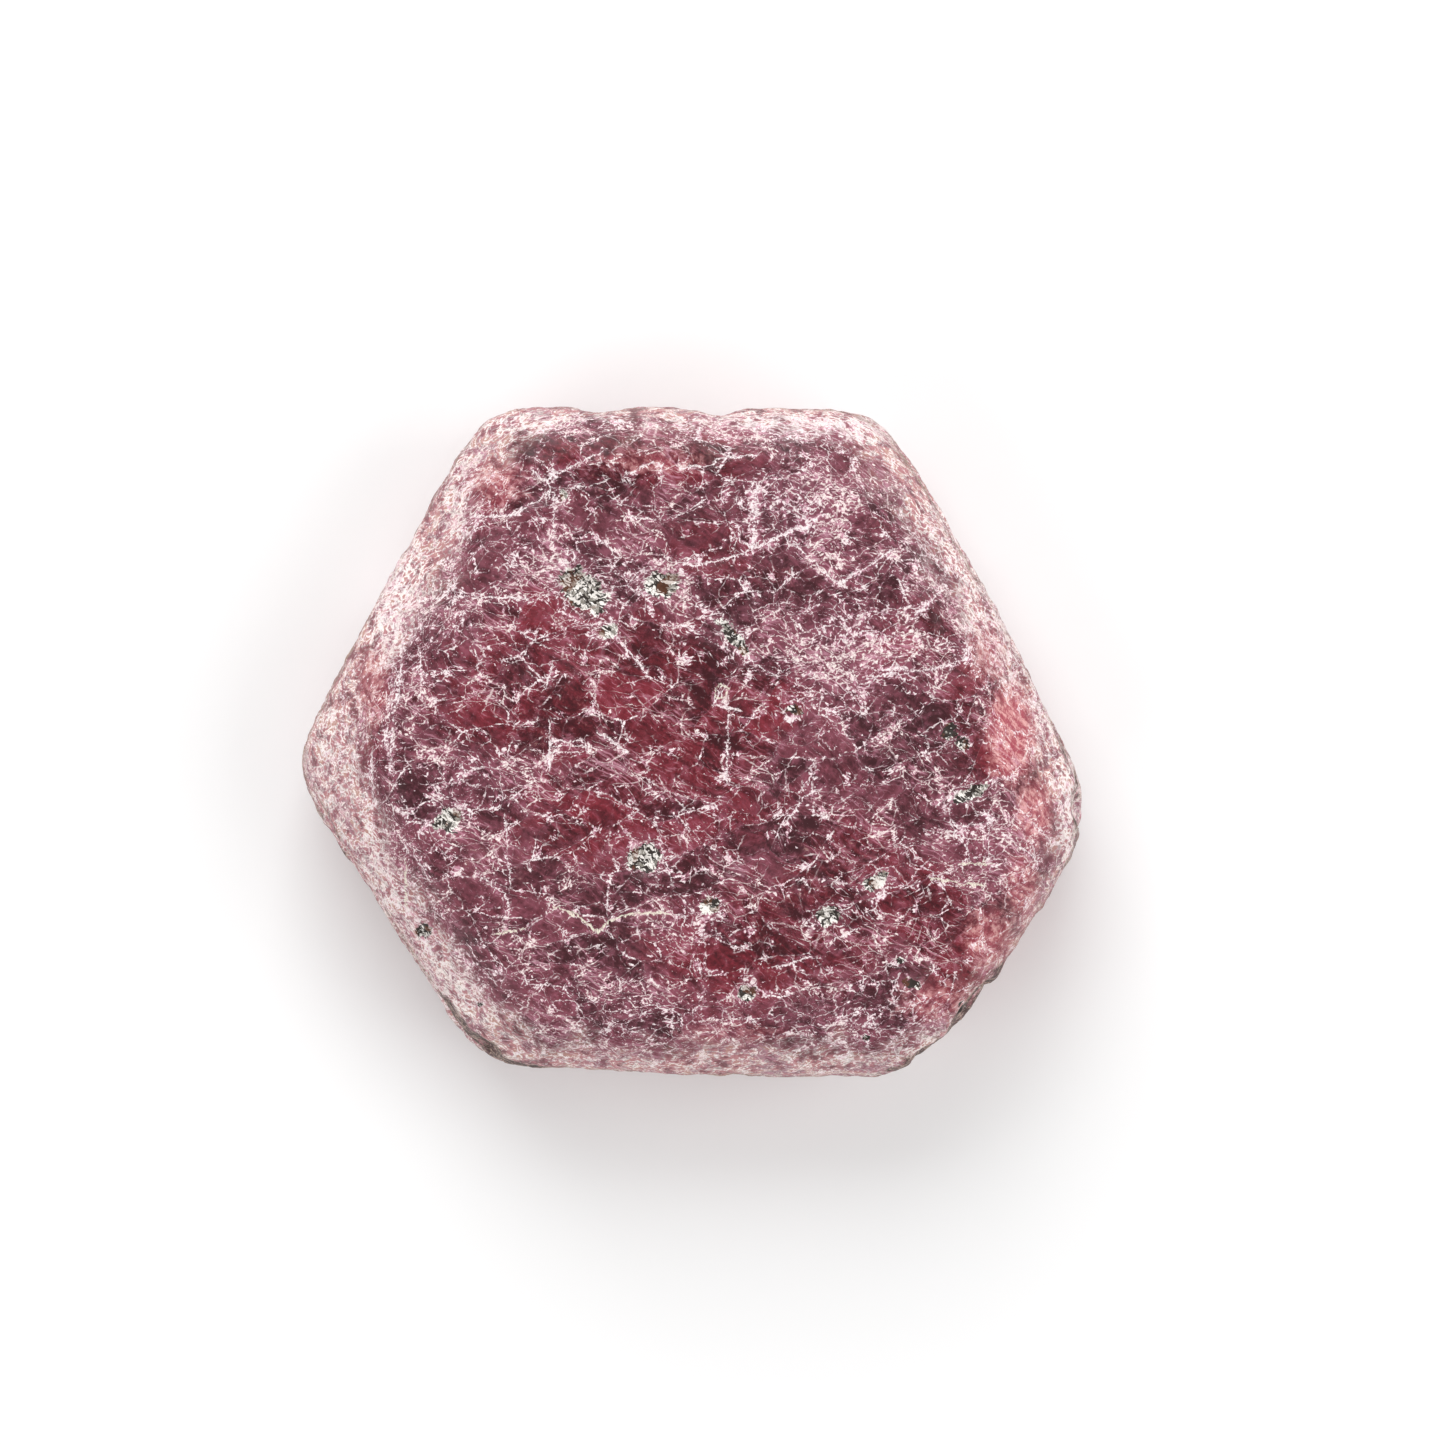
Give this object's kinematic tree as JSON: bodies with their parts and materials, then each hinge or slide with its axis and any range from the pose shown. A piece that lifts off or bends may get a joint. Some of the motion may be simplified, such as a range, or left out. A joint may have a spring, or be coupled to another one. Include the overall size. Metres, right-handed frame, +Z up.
{
  "type": "ruby crystal",
  "caption": "Natural ruby crystal: a flat hexagonal tablet with worn corners, sloping rims and mica pits, resting on its lower basal face",
  "frame": {"origin": "under the middle of the bounding box, on the plane the crystal rests on", "axes": "+X to the right across the two far corners, +Y away from the viewer towards the flat back side, +Z up out of the upper basal face"},
  "size_m": [0.045, 0.0384, 0.0122],
  "materials": {
    "ruby": "frosted natural skin with fine healed cracks"
  },
  "bodies": {
    "root": {"ruby_crystal": "ruby"}
  },
  "joints": []
}
